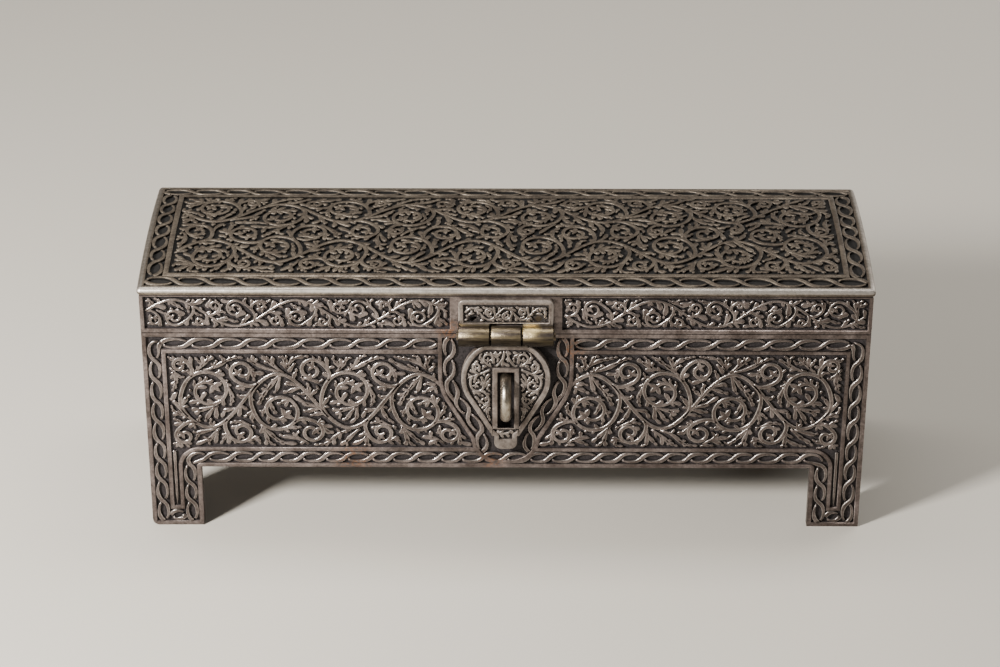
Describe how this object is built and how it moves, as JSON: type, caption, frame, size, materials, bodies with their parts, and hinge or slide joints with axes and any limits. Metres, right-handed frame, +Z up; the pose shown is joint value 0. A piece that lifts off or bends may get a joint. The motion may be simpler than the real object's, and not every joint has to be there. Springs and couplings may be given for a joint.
{
  "type": "pen box",
  "caption": "Lidded steel pen box on four corner feet, with chiselled grounds, a hinged cambered lid, a slotted hasp over a staple, and an inkwell inside.",
  "frame": {"origin": "middle of the whole object's outline, on the surface that the feet stand on", "axes": "+X along the box to the right seen from the hasp, -Y to the front with the hasp, +Z up"},
  "size_m": [0.2212, 0.0824, 0.0862],
  "materials": {
    "chiselled_steel": "chiselled, dark ground, worn ridges",
    "inner_steel": "dull, darkened",
    "fittings_steel": "worn, rubbed edges",
    "pins_and_rivets": "rubbed",
    "inkwell_brass": "aged"
  },
  "bodies": {
    "box": {"front_wall": "chiselled_steel", "back_wall": "chiselled_steel", "left_wall": "chiselled_steel", "right_wall": "chiselled_steel", "floor_plate": "inner_steel", "partition": "inner_steel", "inkwell_seat": "inner_steel", "staple": "fittings_steel", "staple_rove": "inner_steel", "left_hinge_case_leaf": "fittings_steel", "right_hinge_case_leaf": "fittings_steel", "hinge_case_rivets": "pins_and_rivets", "left_hinge_pin": "pins_and_rivets", "right_hinge_pin": "pins_and_rivets"},
    "lid": {"lid_top": "chiselled_steel", "lid_front_skirt": "chiselled_steel", "lid_back_skirt": "chiselled_steel", "lid_left_skirt": "chiselled_steel", "lid_right_skirt": "chiselled_steel", "hasp_leaf": "fittings_steel", "hasp_leaf_rivet": "pins_and_rivets", "hasp_pin": "pins_and_rivets", "left_hinge_lid_leaf": "fittings_steel", "right_hinge_lid_leaf": "fittings_steel", "hinge_lid_rivets": "pins_and_rivets"},
    "hasp": {"hasp_drop": "fittings_steel"},
    "inkwell": {"inkwell": "inkwell_brass"},
    "inkwell_cover": {"inkwell_cover": "inkwell_brass"}
  },
  "joints": [
    {"name": "lid_hinge", "type": "hinge", "parent": "box", "child": "lid", "pos_m": [0, 0.03865, 0.06875], "axis": [-1, 0, 0], "range_deg": [0, 105]},
    {"name": "hasp_swing", "type": "hinge", "parent": "lid", "child": "hasp", "pos_m": [0, -0.03515, 0.0698], "axis": [-1, 0, 0], "range_deg": [0, 184]},
    {"name": "inkwell_lift", "type": "slide", "parent": "box", "child": "inkwell", "axis": [0, 0, 1], "range_m": [0, 0.012]},
    {"name": "cover_lift", "type": "slide", "parent": "inkwell", "child": "inkwell_cover", "axis": [0, 0, 1], "range_m": [0, 0.01]}
  ],
  "couplings": [
    {"joint": "hasp_swing", "follows": "lid_hinge", "ratio": 1.75}
  ]
}
